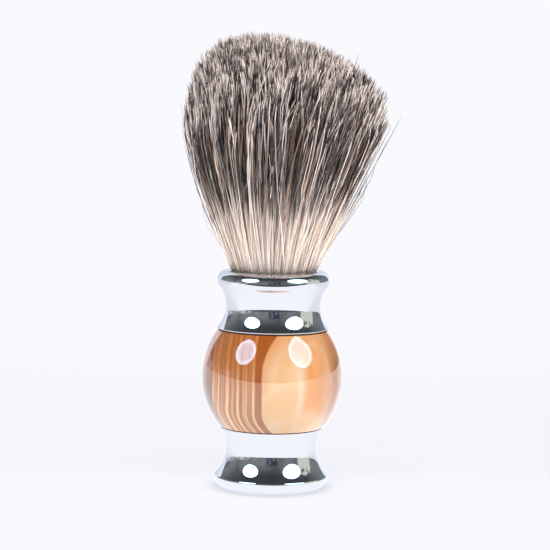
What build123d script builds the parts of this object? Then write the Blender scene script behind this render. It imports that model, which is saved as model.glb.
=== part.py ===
from build123d import *
import math
import os

# A shaving brush that stands upright. A chrome foot, a cast resin ball and a chrome collar are pulled
# together by a threaded rod, and a knot of badger hair is glued into the collar.
# Millimetres, +Z up. The origin is the centre of the face that the brush stands on.

# ---- Foot: a turned shell with a waist, open at the bottom ----
FOOT_CONTACT_R = 11.2  # flat ring that meets the table
FOOT_RIM_R = 13.75  # widest radius
FOOT_RIM_Z = 2.6
FOOT_FLARE_R = 13.55  # the rim's small rounding ends here, and the waist begins
FOOT_FLARE_Z = 3.12
FOOT_WAIST_R = 11.0
FOOT_WAIST_Z = 9.5
FOOT_TOP_R = 12.5
FOOT_TOP_Z = 14.6
FOOT_WEB_Z = 11.5  # underside of the web that the nut pulls on
FOOT_RECESS_R = 8.5

# ---- Foot pad: a soft disc let into the bottom of the foot ----
PAD_R = 10.1
PAD_THICKNESS = 1.2
PAD_CLEARANCE = 0.1
PAD_EDGE_ROUND = 0.3

# ---- Seat rings: thin washers at the two joints of the handle ----
RING_THICKNESS = 0.3
LOWER_RING_INSET = 0.25  # the lower ring's rim lies this far inside the foot's
RING_BORE_R = 6.0

# ---- Resin ball: one arc about the axis, cut flat at both ends ----
BALL_WIDEST_R = 17.0
BALL_WIDEST_Z = 26.8
BALL_TOP_R = 13.4
BALL_TOP_Z = 38.0
BALL_BOTTOM_Z = FOOT_TOP_Z + RING_THICKNESS
BALL_EDGE_ROUND = 0.25
BALL_COUNTERBORE_CLEARANCE = 0.1

# ---- Collar: a cup with a waisted neck and a rolled lip ----
COLLAR_Z = BALL_TOP_Z + RING_THICKNESS
COLLAR_BASE_R = 13.35
COLLAR_EDGE_ROUND = 0.3
NECK_R = 11.4
NECK_Z = 43.9
NECK_TOP_R = 13.2
NECK_TOP_Z = 48.65
LIP_R = 13.55
LIP_SIDE_Z = 49.6  # the lip's side is upright from here
LIP_ROUND = 2.4
LIP_TOP_Z = 52.4
MOUTH_ROUND = 1.15
SOCKET_R = LIP_R - LIP_ROUND - MOUTH_ROUND  # bore that the knot is glued into
SOCKET_FLOOR_Z = 41.0
BOSS_R = 5.0  # spigot under the collar, which centres it in the ball
BOSS_Z = COLLAR_Z - 8.0

# ---- Tie rod and its fasteners, M6 ----
THREAD_R = 3.0
THREAD_DEPTH = 0.45
THREAD_PITCH = 1.0
TAPPED_R = THREAD_R + 0.05  # the tapped holes are plain bores, clear of the rod's crests
CLEARANCE_HOLE_R = 3.3
STUD_BOTTOM_Z = 2.6
STUD_TOP_Z = 38.6
TAPPED_TOP_Z = STUD_TOP_Z + 0.6
WASHER_R = 6.0
WASHER_THICKNESS = 1.6
SPRING_R = 5.3
SPRING_THICKNESS = 1.5
SPRING_GAP = 0.9  # split in the ring
NUT_ACROSS_FLATS = 10.0
NUT_THICKNESS = 5.0
NUT_CHAMFER = 0.6

# ---- Knot: the cast plug, its glue, the hair roots and their binding ----
GLUE_THICKNESS = 0.35
PLUG_TOP_Z = 47.6
PLUG_CROWN = 0.6  # the plug's top bulges this far up into the hair
ROOT_R = 9.45
BINDING_Z = 48.4
BINDING_TURNS = 5
BINDING_THREAD_R = 0.22

# ---- Tuft: the hair above the mouth, a fan of round sections with a domed top ----
TUFT_Z = 52.0
TUFT_BASE_R = 9.9
FAN_R = 24.3
FAN_Z = 89.0  # the fan is widest here
FAN_LEAN = 2.1  # its widest section is off the axis by this much, towards +X
FAN_FULLNESS = 0.25  # 0 is a straight cone; more bows the sides outward
FAN_STEPS = 6
DOME_HEIGHT = 19.8
DOME_LEAN = -6.3  # the crown leans back, so that the left shoulder is the high one
DOME_ANGLES = (12, 24, 36, 48, 60, 72, 83)  # degrees above the widest section


def at(radius, height):
    """A point of a turned outline."""
    return (radius, 0, height)


def turned(edges):
    """A solid of revolution about Z from the edges of a closed outline."""
    return revolve(make_face(edges), axis=Axis.Z)


def upright_disc(radius, bottom_z, height):
    """A cylinder about Z that stands on bottom_z."""
    return Pos(0, 0, bottom_z) * Cylinder(radius, height, align=(Align.CENTER, Align.CENTER, Align.MIN))


def flat_ring(outer_r, inner_r, bottom_z, height):
    """A ring about Z that lies on bottom_z."""
    return upright_disc(outer_r, bottom_z, height) - upright_disc(inner_r, bottom_z, height)


def foot():
    """The chrome foot, with a recess for the nut and a counterbore for the pad."""
    rim = at(FOOT_RIM_R, FOOT_RIM_Z)
    heel = TangentArc(rim, at(FOOT_CONTACT_R, 0), tangent=(0, 0, -1))
    rim_round = TangentArc(rim, at(FOOT_FLARE_R, FOOT_FLARE_Z), tangent=(0, 0, 1))
    waist = ThreePointArc(rim_round @ 1, at(FOOT_WAIST_R, FOOT_WAIST_Z), at(FOOT_TOP_R, FOOT_TOP_Z))
    counterbore_r = PAD_R + PAD_CLEARANCE
    inside = Polyline(
        at(FOOT_TOP_R, FOOT_TOP_Z),
        at(CLEARANCE_HOLE_R, FOOT_TOP_Z),
        at(CLEARANCE_HOLE_R, FOOT_WEB_Z),
        at(FOOT_RECESS_R, FOOT_WEB_Z),
        at(FOOT_RECESS_R, PAD_THICKNESS),
        at(counterbore_r, PAD_THICKNESS),
        at(counterbore_r, 0),
        at(FOOT_CONTACT_R, 0),
    )
    outline = (heel, rim_round, waist, inside)
    return turned([edge for piece in outline for edge in piece.edges()])


def foot_pad():
    """The disc that the brush stands on, with a softened upper rim."""
    pad = upright_disc(PAD_R, 0, PAD_THICKNESS)
    upper_rim = pad.edges().sort_by(Axis.Z)[-1]
    return fillet(upper_rim, PAD_EDGE_ROUND)


def ball_radius(height):
    """Radius of the ball's arc, which passes through its widest point and its top edge."""
    rise = BALL_TOP_Z - BALL_WIDEST_Z
    drop = BALL_WIDEST_R - BALL_TOP_R
    arc_r = (rise**2 + drop**2) / (2 * drop)
    return BALL_WIDEST_R - arc_r + math.sqrt(arc_r**2 - (height - BALL_WIDEST_Z) ** 2)


def resin_ball():
    """The cast grip, drilled for the rod and counterbored for the collar's boss."""
    bottom_edge = at(ball_radius(BALL_BOTTOM_Z), BALL_BOTTOM_Z)
    top_edge = at(BALL_TOP_R, BALL_TOP_Z)
    side = ThreePointArc(bottom_edge, at(BALL_WIDEST_R, BALL_WIDEST_Z), top_edge)
    core = Polyline(top_edge, at(0, BALL_TOP_Z), at(0, BALL_BOTTOM_Z), bottom_edge)
    ball = turned([*side.edges(), *core.edges()])
    rims = ball.edges().filter_by(GeomType.CIRCLE)
    ball = fillet(rims, BALL_EDGE_ROUND)
    through_hole = upright_disc(CLEARANCE_HOLE_R, BALL_BOTTOM_Z, BALL_TOP_Z - BALL_BOTTOM_Z)
    floor_z = BOSS_Z - BALL_COUNTERBORE_CLEARANCE
    counterbore = upright_disc(BOSS_R + BALL_COUNTERBORE_CLEARANCE, floor_z, BALL_TOP_Z - floor_z)
    return ball - through_hole - counterbore


def lower_seat_ring():
    """The washer between the foot and the ball."""
    return flat_ring(FOOT_TOP_R - LOWER_RING_INSET, RING_BORE_R, FOOT_TOP_Z, RING_THICKNESS)


def upper_seat_ring():
    """The washer between the ball and the collar."""
    rim_r = COLLAR_BASE_R - COLLAR_EDGE_ROUND
    return flat_ring(rim_r, RING_BORE_R, BALL_TOP_Z, RING_THICKNESS)


def collar():
    """The chrome cup, with its socket above and its tapped boss below."""
    base_side = at(COLLAR_BASE_R, COLLAR_Z + COLLAR_EDGE_ROUND)
    base_face = at(COLLAR_BASE_R - COLLAR_EDGE_ROUND, COLLAR_Z)
    base_round = TangentArc(base_face, base_side, tangent=(1, 0, 0))
    waist = at(NECK_R, NECK_Z)
    lower_neck = TangentArc(waist, base_side, tangent=(0, 0, -1))
    upper_neck = TangentArc(waist, at(NECK_TOP_R, NECK_TOP_Z), tangent=(0, 0, 1))
    lip_under = TangentArc(upper_neck @ 1, at(LIP_R, LIP_SIDE_Z), tangent=upper_neck % 1)
    lip_side = Line(at(LIP_R, LIP_SIDE_Z), at(LIP_R, LIP_TOP_Z - LIP_ROUND))
    lip_top = TangentArc(lip_side @ 1, at(LIP_R - LIP_ROUND, LIP_TOP_Z), tangent=(0, 0, 1))
    mouth = TangentArc(lip_top @ 1, at(SOCKET_R, LIP_TOP_Z - MOUTH_ROUND), tangent=(-1, 0, 0))
    inside = Polyline(
        at(SOCKET_R, LIP_TOP_Z - MOUTH_ROUND),
        at(SOCKET_R, SOCKET_FLOOR_Z),
        at(0, SOCKET_FLOOR_Z),
        at(0, TAPPED_TOP_Z),
        at(TAPPED_R, TAPPED_TOP_Z),
        at(TAPPED_R, BOSS_Z),
        at(BOSS_R, BOSS_Z),
        at(BOSS_R, COLLAR_Z),
        base_face,
    )
    outline = (base_round, lower_neck, upper_neck, lip_under, lip_side, lip_top, mouth, inside)
    return turned([edge for piece in outline for edge in piece.edges()])


def tie_stud():
    """The threaded rod. Its thread is a row of rings, one for each pitch."""
    root_r = THREAD_R - THREAD_DEPTH
    pitches = round((STUD_TOP_Z - STUD_BOTTOM_Z) / THREAD_PITCH)
    points = [at(0, STUD_BOTTOM_Z), at(root_r, STUD_BOTTOM_Z)]
    for pitch in range(pitches):
        foot_z = STUD_BOTTOM_Z + pitch * THREAD_PITCH
        points.append(at(THREAD_R, foot_z + THREAD_PITCH / 2))
        points.append(at(root_r, foot_z + THREAD_PITCH))
    points.append(at(0, STUD_TOP_Z))
    return turned(Polyline(*points, close=True).edges())


def flat_washer():
    """The washer that spreads the nut's load on the foot's web."""
    return flat_ring(WASHER_R, CLEARANCE_HOLE_R, FOOT_WEB_Z - WASHER_THICKNESS, WASHER_THICKNESS)


def spring_washer():
    """The split lock washer, pressed flat by the nut."""
    bottom_z = FOOT_WEB_Z - WASHER_THICKNESS - SPRING_THICKNESS
    washer = flat_ring(SPRING_R, CLEARANCE_HOLE_R, bottom_z, SPRING_THICKNESS)
    split = Box(SPRING_R, SPRING_GAP, SPRING_THICKNESS, align=(Align.MIN, Align.CENTER, Align.MIN))
    return washer - Pos(0, 0, bottom_z) * split


def hex_nut():
    """The nut, with its corners rounded off on both faces."""
    bottom_z = FOOT_WEB_Z - WASHER_THICKNESS - SPRING_THICKNESS - NUT_THICKNESS
    blank = extrude(RegularPolygon(NUT_ACROSS_FLATS / 2, 6, major_radius=False), NUT_THICKNESS)
    corner_r = NUT_ACROSS_FLATS / math.sqrt(3)
    disc = upright_disc(corner_r, 0, NUT_THICKNESS)
    envelope = chamfer(disc.edges().filter_by(GeomType.CIRCLE), NUT_CHAMFER)
    return Pos(0, 0, bottom_z) * (blank & envelope) - upright_disc(TAPPED_R, bottom_z, NUT_THICKNESS)


def crown():
    """The shallow dome between the plug and the hair roots, from the plug's rim to its middle."""
    rim_r = SOCKET_R - GLUE_THICKNESS
    cap_r = (rim_r**2 + PLUG_CROWN**2) / (2 * PLUG_CROWN)
    return Pos(0, 0, PLUG_TOP_Z + PLUG_CROWN - cap_r) * Sphere(cap_r)


def setting_glue():
    """The thin cup of glue that fills the gap round the plug."""
    outer = upright_disc(SOCKET_R, SOCKET_FLOOR_Z, PLUG_TOP_Z - SOCKET_FLOOR_Z)
    floor_z = SOCKET_FLOOR_Z + GLUE_THICKNESS
    return outer - upright_disc(SOCKET_R - GLUE_THICKNESS, floor_z, PLUG_TOP_Z - floor_z)


def knot_plug():
    """The cast plug that the hair roots are set in."""
    floor_z = SOCKET_FLOOR_Z + GLUE_THICKNESS
    blank = upright_disc(SOCKET_R - GLUE_THICKNESS, floor_z, PLUG_TOP_Z + PLUG_CROWN - floor_z)
    return blank & crown()


def hair_root():
    """The hair inside the collar, packed tight between the plug and the mouth."""
    return upright_disc(ROOT_R, PLUG_TOP_Z, TUFT_Z - PLUG_TOP_Z) - crown()


def binding_thread():
    """The turns of thread round the roots, side by side."""
    edges = []
    for turn in range(BINDING_TURNS):
        low = BINDING_Z + 2 * BINDING_THREAD_R * turn
        start = at(ROOT_R, low)
        end = at(ROOT_R, low + 2 * BINDING_THREAD_R)
        edges.append(ThreePointArc(start, at(ROOT_R + BINDING_THREAD_R, low + BINDING_THREAD_R), end))
    top_z = BINDING_Z + 2 * BINDING_THREAD_R * BINDING_TURNS
    edges.append(Line(at(ROOT_R, top_z), at(ROOT_R, BINDING_Z)))
    return turned(edges)


def tuft_section(radius, shift, height):
    """A round section of the tuft, off the axis along X by shift."""
    return Pos(shift, 0, height) * Circle(radius)


def hair_tuft():
    """The hair above the mouth: a leaning fan that closes in a lopsided dome."""
    sections = []
    for step in range(FAN_STEPS + 1):
        rise = step / FAN_STEPS
        spread = rise * (1 + FAN_FULLNESS * (1 - rise**3))
        radius = TUFT_BASE_R + (FAN_R - TUFT_BASE_R) * spread
        sections.append(tuft_section(radius, FAN_LEAN * rise**2, TUFT_Z + (FAN_Z - TUFT_Z) * rise))
    for degrees in DOME_ANGLES:
        climb = math.sin(math.radians(degrees))
        radius = FAN_R * math.cos(math.radians(degrees))
        sections.append(tuft_section(radius, FAN_LEAN + DOME_LEAN * climb**2, FAN_Z + DOME_HEIGHT * climb))
    return loft(sections, ruled=True)


NODES = (
    foot,
    foot_pad,
    lower_seat_ring,
    resin_ball,
    upper_seat_ring,
    collar,
    tie_stud,
    flat_washer,
    spring_washer,
    hex_nut,
    setting_glue,
    knot_plug,
    hair_root,
    binding_thread,
    hair_tuft,
)

os.makedirs("parts", exist_ok=True)
for node in NODES:
    export_step(node(), f"parts/{node.__name__}.step")
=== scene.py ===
import math

import bmesh
import bpy
import numpy as np
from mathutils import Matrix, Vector


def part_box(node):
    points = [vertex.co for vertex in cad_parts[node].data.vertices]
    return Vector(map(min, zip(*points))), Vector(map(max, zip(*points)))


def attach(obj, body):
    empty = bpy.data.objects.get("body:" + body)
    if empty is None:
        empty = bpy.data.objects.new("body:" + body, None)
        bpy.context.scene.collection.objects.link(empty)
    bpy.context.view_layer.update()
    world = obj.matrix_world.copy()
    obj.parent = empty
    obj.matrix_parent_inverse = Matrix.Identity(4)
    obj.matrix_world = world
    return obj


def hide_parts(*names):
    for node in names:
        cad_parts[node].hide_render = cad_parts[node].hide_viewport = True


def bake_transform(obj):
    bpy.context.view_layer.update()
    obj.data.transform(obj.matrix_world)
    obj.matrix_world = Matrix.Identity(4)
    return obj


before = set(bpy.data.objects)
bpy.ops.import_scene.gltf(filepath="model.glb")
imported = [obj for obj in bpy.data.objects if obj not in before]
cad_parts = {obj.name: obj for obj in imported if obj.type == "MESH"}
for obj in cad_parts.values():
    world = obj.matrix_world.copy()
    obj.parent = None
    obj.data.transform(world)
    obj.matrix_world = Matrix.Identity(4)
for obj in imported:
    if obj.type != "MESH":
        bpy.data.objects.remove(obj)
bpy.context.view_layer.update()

MM = 0.001
SEED = 20

# ------------------------------------------------------------------ camera

CAMERA_DISTANCE = 470 * MM
CAMERA_HEIGHT = 93.5 * MM
AIM = Vector((0.34 * MM, 0, 51.2 * MM))
CAMERA_ROLL = math.radians(0.88)
SENSOR_WIDTH = 36.0
LENS = 128.7
NEAREST_SEEN = 10 * MM


def make_camera():
    """A long lens a little above the handle, tilted down."""
    data = bpy.data.cameras.new("camera")
    data.sensor_width = SENSOR_WIDTH
    data.lens = LENS
    data.clip_start = NEAREST_SEEN
    camera = bpy.data.objects.new("camera", data)
    bpy.context.collection.objects.link(camera)
    camera.location = (AIM.x, -CAMERA_DISTANCE, CAMERA_HEIGHT)
    aim = (AIM - camera.location).to_track_quat("-Z", "Y").to_matrix().to_4x4()
    camera.matrix_world = (
        camera.matrix_world.Translation(camera.location) @ aim @ aim.Rotation(CAMERA_ROLL, 4, "Z")
    )
    bpy.context.scene.camera = camera


# ------------------------------------------------------------------ node materials


class Nodes:
    """A short way to write a node tree: each call adds one node and returns its output."""

    def __init__(self, tree):
        self.tree = tree
        tree.nodes.clear()

    def add(self, kind, inputs=None, **settings):
        node = self.tree.nodes.new(kind)
        for key, value in settings.items():
            setattr(node, key, value)
        for key, value in (inputs or {}).items():
            self.put(node.inputs[key], value)
        return node

    def put(self, socket, value):
        if isinstance(value, bpy.types.NodeSocket):
            self.tree.links.new(value, socket)
        else:
            socket.default_value = value

    def math(self, operation, a, b=0.0, c=0.0):
        return self.add("ShaderNodeMath", {0: a, 1: b, 2: c}, operation=operation).outputs[0]

    def times(self, a, b):
        return self.math("MULTIPLY", a, b)

    def line(self, value, slope, offset):
        """The value times a slope, plus an offset."""
        return self.math("MULTIPLY_ADD", value, slope, offset)

    def apart(self, a, b):
        """How far apart two values are."""
        return self.math("ABSOLUTE", self.math("SUBTRACT", a, b))

    def vector(self, operation, a, b=(0, 0, 0)):
        return self.add("ShaderNodeVectorMath", {0: a, 1: b}, operation=operation).outputs[0]

    def length(self, vector):
        return self.add("ShaderNodeVectorMath", {0: vector}, operation="LENGTH").outputs["Value"]

    def split(self, vector):
        return tuple(self.add("ShaderNodeSeparateXYZ", {0: vector}).outputs)

    def join(self, x, y=0.0, z=0.0):
        return self.add("ShaderNodeCombineXYZ", {0: x, 1: y, 2: z}).outputs[0]

    def step(self, value, low, high, out_low=0.0, out_high=1.0):
        """A smooth step from low to high."""
        values = {"Value": value, "From Min": low, "From Max": high, "To Min": out_low, "To Max": out_high}
        return self.add("ShaderNodeMapRange", values, interpolation_type="SMOOTHSTEP").outputs[0]

    def mix(self, factor, a, b):
        node = self.add("ShaderNodeMix", data_type="RGBA", clamp_factor=True)
        colour_sockets = [s for s in node.inputs if s.type == "RGBA"]
        self.put(node.inputs["Factor"], factor)
        self.put(colour_sockets[0], a)
        self.put(colour_sockets[1], b)
        return [s for s in node.outputs if s.type == "RGBA"][0]

    def tint(self, ground, colour, value, start, end, amount=1.0):
        """The ground, of which an amount turns into the colour as the value goes from start to end."""
        return self.mix(self.step(value, start, end, 0.0, amount), ground, colour)

    def noise(self, vector, stretch=(1, 1, 1), scale=1.0, detail=2.0, distortion=0.0):
        """Noise from 0 to 1, as fine along each axis as its stretch says."""
        values = {
            "Vector": self.vector("MULTIPLY", vector, stretch),
            "Scale": scale,
            "Detail": detail,
            "Distortion": distortion,
        }
        return self.add("ShaderNodeTexNoise", values).outputs[0]

    def ramp(self, factor, stops, colours):
        node = self.add("ShaderNodeValToRGB", {0: factor})
        ramp = node.color_ramp
        while len(ramp.elements) < len(stops):
            ramp.elements.new(0.5)
        for element, position, colour in zip(ramp.elements, stops, colours):
            element.position = position
            element.color = colour
        return node.outputs[0]

    def bump(self, height, strength, distance):
        values = {"Height": height, "Strength": strength, "Distance": distance}
        return self.add("ShaderNodeBump", values).outputs[0]

    def point(self):
        """The point on the piece in its own space, in millimetres."""
        place = self.add("ShaderNodeTexCoord").outputs["Object"]
        return self.vector("MULTIPLY", place, (1 / MM,) * 3)

    def ray(self, kind):
        """1 where the surface is met by a ray of this kind, and 0 elsewhere."""
        return self.add("ShaderNodeLightPath").outputs[f"Is {kind} Ray"]


def rgb(red, green, blue):
    """A display colour, 0 to 255, as the linear colour that shaders take."""
    linear = []
    for channel in (red, green, blue):
        share = channel / 255
        linear.append(share / 12.92 if share <= 0.04045 else ((share + 0.055) / 1.055) ** 2.4)
    return (*linear, 1.0)


def material(name, **surface):
    """A new node material with its Principled shader; surface names sockets that hold constants."""
    made = bpy.data.materials.new(name)
    made.use_nodes = True
    nodes = Nodes(made.node_tree)
    shader = nodes.add("ShaderNodeBsdfPrincipled")
    output = nodes.add("ShaderNodeOutputMaterial")
    nodes.put(output.inputs["Surface"], shader.outputs[0])
    for key, value in surface.items():
        shader.inputs[key.replace("_", " ")].default_value = value
    return made, nodes, shader


def glowing(name):
    """A new material that only glows, with its node tree and its Emission shader."""
    made = bpy.data.materials.new(name)
    made.use_nodes = True
    nodes = Nodes(made.node_tree)
    shader = nodes.add("ShaderNodeEmission")
    output = nodes.add("ShaderNodeOutputMaterial")
    nodes.put(output.inputs["Surface"], shader.outputs[0])
    return made, nodes, shader


CHROME = (0.62, 0.63, 0.655, 1)
CHROME_EDGE = (0.86, 0.9, 0.97, 1)  # its tint where it is seen at a slant
CHROME_ROUGHNESS = (0.02, 0.05)


def chrome_material():
    """Bright polished plating, with faint turned polishing marks."""
    made, nodes, shader = material("chrome", Metallic=1.0, Base_Color=CHROME, Specular_Tint=CHROME_EDGE)
    rings = nodes.noise(nodes.point(), (0.25, 0.25, 6.0), detail=3)
    nodes.put(shader.inputs["Roughness"], nodes.step(rings, 0.3, 0.75, *CHROME_ROUGHNESS))
    return made


# The resin ball. Heights and places are in mm.
BALL_MIDDLE = 26.8  # height of its widest section
BALL_FRONT = -15.0  # depth at which the layers have the places given below
BOW_BELOW, BOW_ABOVE = 20.5, 29.5  # the layers bow outward below and above these heights
LOW_BOW, HIGH_BOW = 0.09, 0.015  # mm outward for each squared mm of height past them
EDGE_BOW = 0.037  # and how much more the milky half's edge bows at the top
DEPTH_SLANT = 0.06  # mm sideways for each mm of depth
WANDER, RIPPLE = 0.6, 0.14  # how far slow and quick waves push the layers, mm
CREAM_EDGE = -2.5  # where the banded half ends at the ball's middle
DEEP_START, DEEP_END = -4.1, -3.7  # the last band is darker from here on
VEINS = (  # each pale vein's place across the layers, half-width and strength
    (-15.0, 0.20, 0.3),
    (-14.3, 0.12, 0.4),
    (-13.4, 0.20, 1.0),
    (-12.2, 0.20, 1.0),
    (-11.6, 0.10, 0.6),
    (-11.2, 0.08, 0.5),
    (-10.3, 0.36, 1.0),
    (-9.1, 0.34, 0.5),
    (-7.9, 0.28, 1.0),
    (-6.7, 0.16, 0.8),
    (-6.1, 0.34, 0.75),
    (-4.4, 0.32, 1.0),
)
VEIN_OUTSIDE, VEIN_INSIDE = 1.5, 0.4  # a vein fades in between these multiples of its half-width
BROWN, TAN, DEEP = rgb(140, 80, 32), rgb(162, 104, 56), rgb(140, 74, 22)
# painted shade: the veins' upper colour, and the band's colours for its far side and its top
VEIN_LOW, VEIN_HIGH_SHADE = rgb(208, 167, 122), rgb(190, 124, 66)
BAND_EDGE_SHADE, BAND_TOP_SHADE = rgb(84, 44, 28), rgb(146, 72, 22)
CREAM, PEACH, AMBER = rgb(206, 178, 146), rgb(203, 160, 112), rgb(200, 130, 66)
# painted shade: the milky half's colours for its right side, far side and top; its warm colour is its own
MILK_RIGHT_SHADE, MILK_EDGE_SHADE = rgb(156, 90, 34), rgb(112, 54, 12)
MILK_TOP_SHADE, MILK_WARM = rgb(186, 118, 58), rgb(192, 128, 70)


def resin_layers(nodes, point):
    """Where a point lies across the resin's upright sheets, and across the milky half's edge.

    The sheets bow towards +X at the ball's top and bottom, and wander a little.
    """
    x, y, z = nodes.split(point)
    low = nodes.math("POWER", nodes.math("MAXIMUM", nodes.math("SUBTRACT", BOW_BELOW, z), 0.0), 2)
    high = nodes.math("POWER", nodes.math("MAXIMUM", nodes.math("SUBTRACT", z, BOW_ABOVE), 0.0), 2)
    wander = nodes.noise(point, (0.10, 0.05, 0.13))
    ripple = nodes.noise(point, (0.5, 0.1, 0.5), detail=1)
    layer = nodes.line(low, -LOW_BOW, x)
    layer = nodes.line(high, -HIGH_BOW, layer)
    layer = nodes.line(nodes.math("SUBTRACT", y, BALL_FRONT), DEPTH_SLANT, layer)
    layer = nodes.math("ADD", layer, nodes.line(wander, WANDER, -WANDER / 2))
    layer = nodes.math("ADD", layer, nodes.line(ripple, RIPPLE, -RIPPLE / 2))
    return layer, nodes.line(high, -EDGE_BOW, layer)


def banded_half(nodes, point, layer, side):
    """Brown resin with pale veins, and fine threads inside its stripes."""
    _, y, z = nodes.split(point)
    # painted shade: the veins darker and more orange higher up
    pale = nodes.tint(VEIN_LOW, VEIN_HIGH_SHADE, z, 22.0, 33.0)
    ground = nodes.noise(nodes.join(nodes.times(layer, 0.9)))
    banded = nodes.tint(BROWN, TAN, ground, 0.35, 0.65)
    for place, half_width, strength in VEINS:
        aside = nodes.apart(layer, place)
        outside, inside = half_width * VEIN_OUTSIDE, half_width * VEIN_INSIDE
        banded = nodes.tint(banded, pale, aside, outside, inside, strength)
    banded = nodes.tint(banded, DEEP, layer, DEEP_START, DEEP_END)
    threads = nodes.noise(nodes.join(layer, y, z), (3.2, 0.04, 0.05))
    banded = nodes.tint(banded, pale, threads, 0.52, 0.75, 0.25)
    banded = nodes.tint(banded, BROWN, threads, 0.46, 0.25, 0.35)

    # painted shade: darker at its far side, most in its lower part, and darker and more orange in the upper
    # half
    painted_edge_shade = nodes.times(nodes.step(side, -0.8, -0.9), nodes.step(z, 34.0, 26.0, 0.3, 0.85))
    banded = nodes.mix(painted_edge_shade, banded, BAND_EDGE_SHADE)
    return nodes.tint(banded, BAND_TOP_SHADE, z, 22.0, 34.0, 0.35)


def milky_half(nodes, point, edge, side):
    """A warm cream with a soft orange plume, and painted shade that makes it darker towards its far side and
    its top.
    """
    x, y, z = nodes.split(point)
    cloud = nodes.noise(point, (0.11, 0.11, 0.07), distortion=0.6)
    milky = nodes.tint(CREAM, PEACH, cloud, 0.35, 0.65)
    from_plume = nodes.apart(x, nodes.step(z, 20.0, 27.0, 9.6, 10.2))
    plume_height = nodes.times(nodes.step(z, 17.5, 22.0), nodes.step(z, 37.0, 31.0))
    plume = nodes.times(nodes.step(from_plume, 3.6, 1.2), plume_height)
    milky = nodes.mix(nodes.times(plume, 0.9), milky, AMBER)
    # painted shade: darker towards the right, the far side and the top
    milky = nodes.tint(milky, MILK_RIGHT_SHADE, x, 8.5, 16.0, 0.9)
    milky = nodes.tint(milky, MILK_EDGE_SHADE, side, 0.82, 0.92, 0.8)
    milky = nodes.tint(milky, MILK_TOP_SHADE, z, 27.0, 38.0, 0.6)

    # round the side and the back it is cloudier
    swirl = nodes.noise(point, (0.16, 0.16, 0.08), detail=3, distortion=1.6)
    round_back = nodes.step(y, -12.0, -4.0)
    milky = nodes.mix(nodes.times(nodes.step(swirl, 0.48, 0.68, 0.0, 0.35), round_back), milky, CREAM)
    milky = nodes.mix(nodes.times(nodes.step(swirl, 0.48, 0.3, 0.0, 0.5), round_back), milky, AMBER)

    # beside the banded half it is warmer, above the lowest part
    beside = nodes.step(edge, CREAM_EDGE + 3.6, CREAM_EDGE + 0.4, 0.0, 0.6)
    return nodes.mix(nodes.times(beside, nodes.step(z, 22.5, 26.0)), milky, MILK_WARM)


def resin_material():
    """Cast resin that looks like banded agate: brown with pale veins, and a milky apricot half."""
    made, nodes, shader = material("agate_resin", Roughness=0.06, IOR=1.6, Coat_Weight=1.0)
    shader.inputs["Coat Roughness"].default_value = 0.02
    shader.inputs["Coat IOR"].default_value = 1.6
    point = nodes.point()
    x, y, _ = nodes.split(point)
    from_axis = nodes.math("SQRT", nodes.math("ADD", nodes.math("POWER", x, 2), nodes.math("POWER", y, 2)))
    side = nodes.math("DIVIDE", x, nodes.math("MAXIMUM", from_axis, 1.0))
    layer, edge = resin_layers(nodes, point)
    banded = banded_half(nodes, point, layer, side)
    milky = milky_half(nodes, point, edge, side)
    inside = nodes.step(edge, CREAM_EDGE - 0.2, CREAM_EDGE + 0.35)
    nodes.put(shader.inputs["Base Color"], nodes.mix(inside, banded, milky))
    return made


def plain_noise_material(name, colour, other, scale, roughness, bump):
    """A matt or satin material whose colour, gloss and surface vary finely."""
    made, nodes, shader = material(name)
    grain = nodes.noise(nodes.point(), scale=scale, detail=4)
    nodes.put(shader.inputs["Base Color"], nodes.tint(colour, other, grain, 0.3, 0.7))
    nodes.put(shader.inputs["Roughness"], nodes.step(grain, 0.3, 0.7, roughness * 0.85, roughness))
    nodes.put(shader.inputs["Normal"], nodes.bump(grain, bump, 0.05 * MM))
    return made


# ------------------------------------------------------------------ turned pieces

TURN_STEPS = 240  # facets round a turned piece
ARC_STEP = math.radians(4)
SHARP_ANGLE = math.radians(25)  # edges that turn by more stay crisp
ON_AXIS = 1e-6  # a radius smaller than this is the axis itself, mm


def arc_about(centre, start, end, clockwise):
    """Points of a circular arc from start to end, end left out; points are (radius, height)."""
    radius = math.dist(centre, start)
    first = math.atan2(start[1] - centre[1], start[0] - centre[0])
    last = math.atan2(end[1] - centre[1], end[0] - centre[0])
    sweep = (last - first) % math.tau
    if clockwise:
        sweep -= math.tau
    count = max(2, math.ceil(abs(sweep) / ARC_STEP))
    angles = [first + sweep * step / count for step in range(count)]
    return [(centre[0] + radius * math.cos(a), centre[1] + radius * math.sin(a)) for a in angles]


def three_point_arc(start, middle, end):
    """The arc through three points, end left out."""
    (ax, ay), (bx, by), (cx, cy) = start, middle, end
    doubled = 2 * (ax * (by - cy) + bx * (cy - ay) + cx * (ay - by))
    a2, b2, c2 = ax * ax + ay * ay, bx * bx + by * by, cx * cx + cy * cy
    centre = (
        (a2 * (by - cy) + b2 * (cy - ay) + c2 * (ay - by)) / doubled,
        (a2 * (cx - bx) + b2 * (ax - cx) + c2 * (bx - ax)) / doubled,
    )
    return arc_about(centre, start, end, clockwise=doubled < 0)


def tangent_arc(start, direction, end):
    """The arc that leaves start along direction and reaches end, end left out."""
    chord = (end[0] - start[0], end[1] - start[1])
    normal = (-direction[1], direction[0])
    across = chord[0] * normal[0] + chord[1] * normal[1]
    radius = (chord[0] ** 2 + chord[1] ** 2) / (2 * across)
    centre = (start[0] + normal[0] * radius, start[1] + normal[1] * radius)
    return arc_about(centre, start, end, clockwise=radius < 0)


def direction_between(a, b):
    length = math.dist(a, b)
    return ((b[0] - a[0]) / length, (b[1] - a[1]) / length)


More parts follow.
